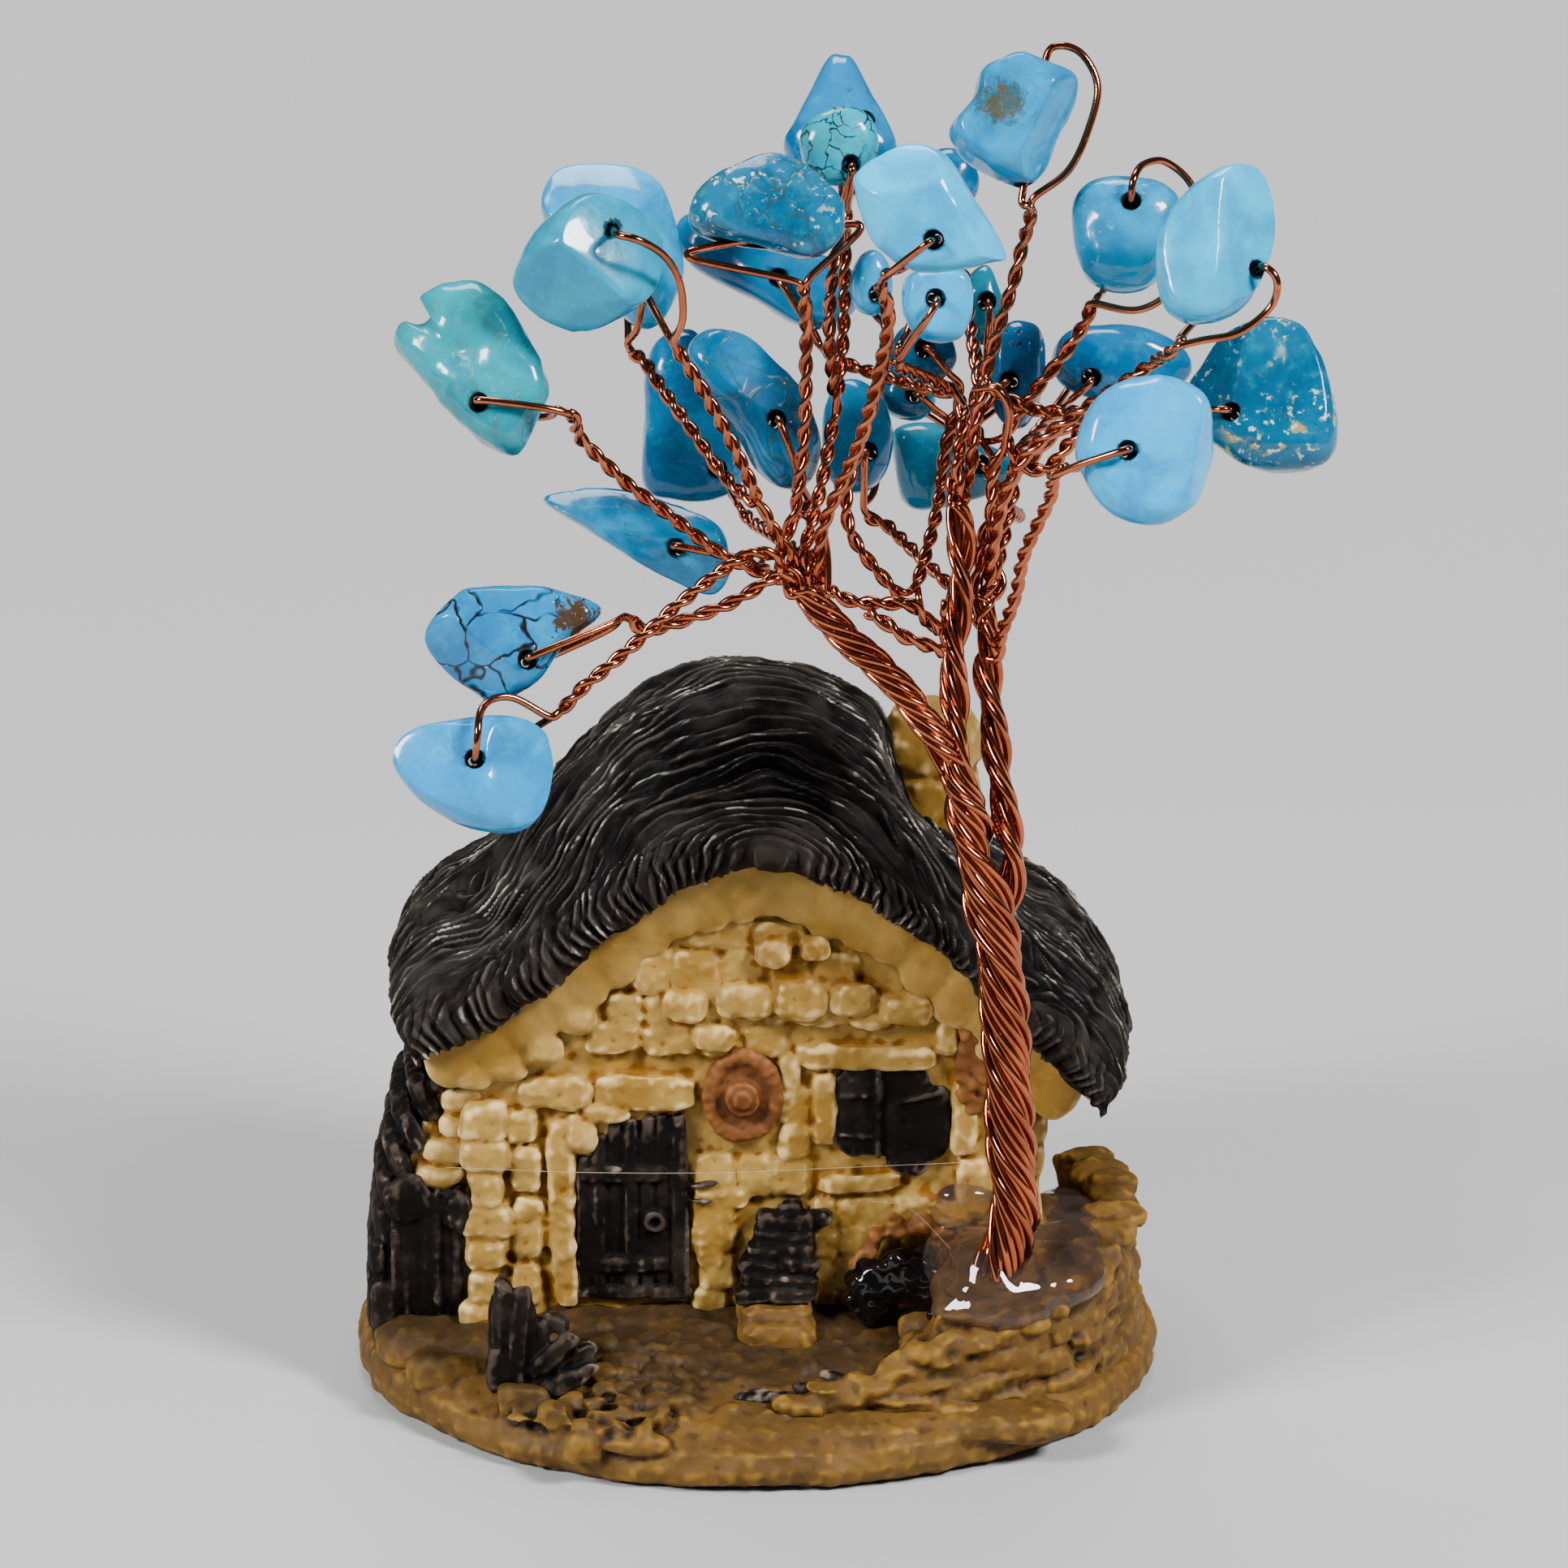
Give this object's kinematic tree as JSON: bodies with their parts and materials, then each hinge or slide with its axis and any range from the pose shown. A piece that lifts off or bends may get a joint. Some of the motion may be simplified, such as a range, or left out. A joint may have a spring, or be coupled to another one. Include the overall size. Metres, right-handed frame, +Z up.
{
  "type": "gem tree figurine",
  "caption": "Wire gem tree: drilled turquoise chips threaded on twisted copper wire, glued beside a cast thatched cottage on an oval plinth.",
  "frame": {"origin": "middle of the plinth's flat underside", "axes": "+Z up, +X to the cottage's right as its door is faced, +Y from the door to the back"},
  "size_m": [0.0556, 0.039, 0.0785],
  "materials": {
    "turquoise": "gloss",
    "copper": "polished",
    "painted_casting": "satin",
    "clear_glue": "gloss"
  },
  "bodies": {
    "cottage_and_wires": {"cottage_casting": "painted_casting", "glue_pool": "clear_glue", "wire_far_left": "copper", "wire_upper_left": "copper", "wire_low_left": "copper", "wire_speckled_centre": "copper", "wire_top": "copper", "wire_sky_front": "copper", "wire_back_left": "copper", "wire_top_right": "copper", "wire_small_oval": "copper", "wire_back_grey": "copper", "wire_right_round": "copper", "wire_right_leaf": "copper", "wire_far_right": "copper", "wire_right_front": "copper"},
    "far_left_chip": {"chip_far_left": "turquoise"},
    "upper_left_back_chip": {"chip_upper_left_back": "turquoise"},
    "upper_left_front_chip": {"chip_upper_left_front": "turquoise"},
    "back_left_long_chip": {"chip_back_left_long": "turquoise"},
    "speckled_centre_chip": {"chip_speckled_centre": "turquoise"},
    "top_peak_chip": {"chip_top_peak": "turquoise"},
    "top_oval_chip": {"chip_top_oval": "turquoise"},
    "sky_front_chip": {"chip_sky_front": "turquoise"},
    "behind_sky_chip": {"chip_behind_sky": "turquoise"},
    "top_right_chip": {"chip_top_right": "turquoise"},
    "right_round_chip": {"chip_right_round": "turquoise"},
    "right_leaf_chip": {"chip_right_leaf": "turquoise"},
    "right_back_dark_chip": {"chip_right_back_dark": "turquoise"},
    "far_right_deep_chip": {"chip_far_right_deep": "turquoise"},
    "right_front_chip": {"chip_right_front": "turquoise"},
    "drilled_centre_chip": {"chip_drilled_centre": "turquoise"},
    "small_oval_chip": {"chip_small_oval": "turquoise"},
    "speckled_right_chip": {"chip_speckled_right": "turquoise"},
    "back_drilled_chip": {"chip_back_drilled": "turquoise"},
    "back_teal_chip": {"chip_back_teal": "turquoise"},
    "back_low_chip": {"chip_back_low": "turquoise"},
    "centre_large_chip": {"chip_centre_large": "turquoise"},
    "centre_back_chip": {"chip_centre_back": "turquoise"},
    "left_back_tall_chip": {"chip_left_back_tall": "turquoise"},
    "left_spike_chip": {"chip_left_spike": "turquoise"},
    "veined_left_chip": {"chip_veined_left": "turquoise"},
    "low_left_chip": {"chip_low_left": "turquoise"},
    "back_grey_chip": {"chip_back_grey": "turquoise"}
  },
  "joints": [
    {"name": "far_left_turn", "type": "hinge", "parent": "cottage_and_wires", "child": "far_left_chip", "pos_m": [-0.0145, -0.0093, 0.06023], "axis": [-0.24, -0.8529, 0.4637], "range_deg": [-10, 10]},
    {"name": "upper_left_back_turn", "type": "hinge", "parent": "cottage_and_wires", "child": "upper_left_back_chip", "pos_m": [-0.0067, 0.00241, 0.06331], "axis": [0.1952, -0.9504, 0.2421], "range_deg": [-10, 10]},
    {"name": "upper_left_front_turn", "type": "hinge", "parent": "cottage_and_wires", "child": "upper_left_front_chip", "pos_m": [-0.0077, -0.00962, 0.07059], "axis": [0.144, -0.9842, 0.1028], "range_deg": [-10, 10]},
    {"name": "back_left_long_turn", "type": "hinge", "parent": "cottage_and_wires", "child": "back_left_long_chip", "pos_m": [0.0016, 0.00734, 0.06238], "axis": [-0.1924, -0.8384, 0.51], "range_deg": [-10, 10]},
    {"name": "speckled_centre_turn", "type": "hinge", "parent": "cottage_and_wires", "child": "speckled_centre_chip", "pos_m": [0.0019, -0.00561, 0.06903], "axis": [0.9773, 0.1751, 0.1197], "range_deg": [-10, 10]},
    {"name": "top_peak_turn", "type": "hinge", "parent": "cottage_and_wires", "child": "top_peak_chip", "pos_m": [0.0061, 0.00563, 0.0718], "axis": [0, -0.8018, 0.5976], "range_deg": [-10, 10]},
    {"name": "top_oval_turn", "type": "hinge", "parent": "cottage_and_wires", "child": "top_oval_chip", "pos_m": [0.0051, 0.00016, 0.07125], "axis": [0.1483, -0.9293, 0.3382], "range_deg": [-10, 10]},
    {"name": "sky_front_turn", "type": "hinge", "parent": "cottage_and_wires", "child": "sky_front_chip", "pos_m": [0.0098, -0.01347, 0.07097], "axis": [-0.1476, -0.9584, 0.2441], "range_deg": [-10, 10]},
    {"name": "behind_sky_turn", "type": "hinge", "parent": "cottage_and_wires", "child": "behind_sky_chip", "pos_m": [0.0107, 0.0067, 0.06787], "axis": [0.1952, -0.8837, 0.4255], "range_deg": [-10, 10]},
    {"name": "top_right_turn", "type": "hinge", "parent": "cottage_and_wires", "child": "top_right_chip", "pos_m": [0.0153, -0.00277, 0.07472], "axis": [0.1721, 0.458, 0.8722], "range_deg": [-10, 10]},
    {"name": "right_round_turn", "type": "hinge", "parent": "cottage_and_wires", "child": "right_round_chip", "pos_m": [0.0207, -0.00285, 0.06955], "axis": [-0.0976, -0.8503, 0.5172], "range_deg": [-10, 10]},
    {"name": "right_leaf_turn", "type": "hinge", "parent": "cottage_and_wires", "child": "right_leaf_chip", "pos_m": [0.0266, -0.01162, 0.06855], "axis": [0.286, -0.8634, 0.4157], "range_deg": [-10, 10]},
    {"name": "right_back_dark_turn", "type": "hinge", "parent": "cottage_and_wires", "child": "right_back_dark_chip", "pos_m": [0.0186, 0.00373, 0.05826], "axis": [0.0976, -0.9838, 0.1504], "range_deg": [-10, 10]},
    {"name": "far_right_deep_turn", "type": "hinge", "parent": "cottage_and_wires", "child": "far_right_deep_chip", "pos_m": [0.0265, -0.0032, 0.0579], "axis": [-0.1952, -0.8837, 0.4255], "range_deg": [-10, 10]},
    {"name": "right_front_turn", "type": "hinge", "parent": "cottage_and_wires", "child": "right_front_chip", "pos_m": [0.0198, -0.01519, 0.05956], "axis": [0.0994, -0.9169, 0.3866], "range_deg": [-10, 10]},
    {"name": "drilled_centre_turn", "type": "hinge", "parent": "cottage_and_wires", "child": "drilled_centre_chip", "pos_m": [0.0096, -0.00694, 0.06581], "axis": [0.1476, -0.9584, 0.2441], "range_deg": [-10, 10]},
    {"name": "small_oval_turn", "type": "hinge", "parent": "cottage_and_wires", "child": "small_oval_chip", "pos_m": [0.0065, -0.00322, 0.06484], "axis": [0.1961, -0.9214, 0.3354], "range_deg": [-10, 10]},
    {"name": "speckled_right_turn", "type": "hinge", "parent": "cottage_and_wires", "child": "speckled_right_chip", "pos_m": [0.0143, -0.0021, 0.05951], "axis": [-0.1961, -0.9214, 0.3354], "range_deg": [-10, 10]},
    {"name": "back_drilled_turn", "type": "hinge", "parent": "cottage_and_wires", "child": "back_drilled_chip", "pos_m": [0.0093, 0.00389, 0.05933], "axis": [0.0976, -0.8503, 0.5172], "range_deg": [-10, 10]},
    {"name": "back_teal_turn", "type": "hinge", "parent": "cottage_and_wires", "child": "back_teal_chip", "pos_m": [0.009, 0.00886, 0.05523], "axis": [0, -0.8786, 0.4776], "range_deg": [-10, 10]},
    {"name": "back_low_turn", "type": "hinge", "parent": "cottage_and_wires", "child": "back_low_chip", "pos_m": [0.0127, 0.01218, 0.05034], "axis": [0.099, -0.9643, 0.2456], "range_deg": [-10, 10]},
    {"name": "centre_large_turn", "type": "hinge", "parent": "cottage_and_wires", "child": "centre_large_chip", "pos_m": [0.001, -0.00125, 0.05684], "axis": [0.099, -0.8966, 0.4317], "range_deg": [-10, 10]},
    {"name": "centre_back_turn", "type": "hinge", "parent": "cottage_and_wires", "child": "centre_back_chip", "pos_m": [0.0066, 0.00535, 0.05297], "axis": [-0.1952, -0.8837, 0.4255], "range_deg": [-10, 10]},
    {"name": "left_back_tall_turn", "type": "hinge", "parent": "cottage_and_wires", "child": "left_back_tall_chip", "pos_m": [-0.0023, 0.0054, 0.05223], "axis": [0.099, -0.9643, 0.2456], "range_deg": [-10, 10]},
    {"name": "left_spike_turn", "type": "hinge", "parent": "cottage_and_wires", "child": "left_spike_chip", "pos_m": [-0.0042, -0.0026, 0.04988], "axis": [-0.1476, -0.8911, 0.4291], "range_deg": [-10, 10]},
    {"name": "veined_left_turn", "type": "hinge", "parent": "cottage_and_wires", "child": "veined_left_chip", "pos_m": [-0.0125, -0.01237, 0.04667], "axis": [0.099, -0.8966, 0.4317], "range_deg": [-10, 10]},
    {"name": "low_left_turn", "type": "hinge", "parent": "cottage_and_wires", "child": "low_left_chip", "pos_m": [-0.0153, -0.0157, 0.04213], "axis": [0.099, -0.8966, 0.4317], "range_deg": [-10, 10]},
    {"name": "back_grey_turn", "type": "hinge", "parent": "cottage_and_wires", "child": "back_grey_chip", "pos_m": [0.0127, 0.00602, 0.0616], "axis": [0.1952, -0.8837, 0.4255], "range_deg": [-10, 10]}
  ]
}
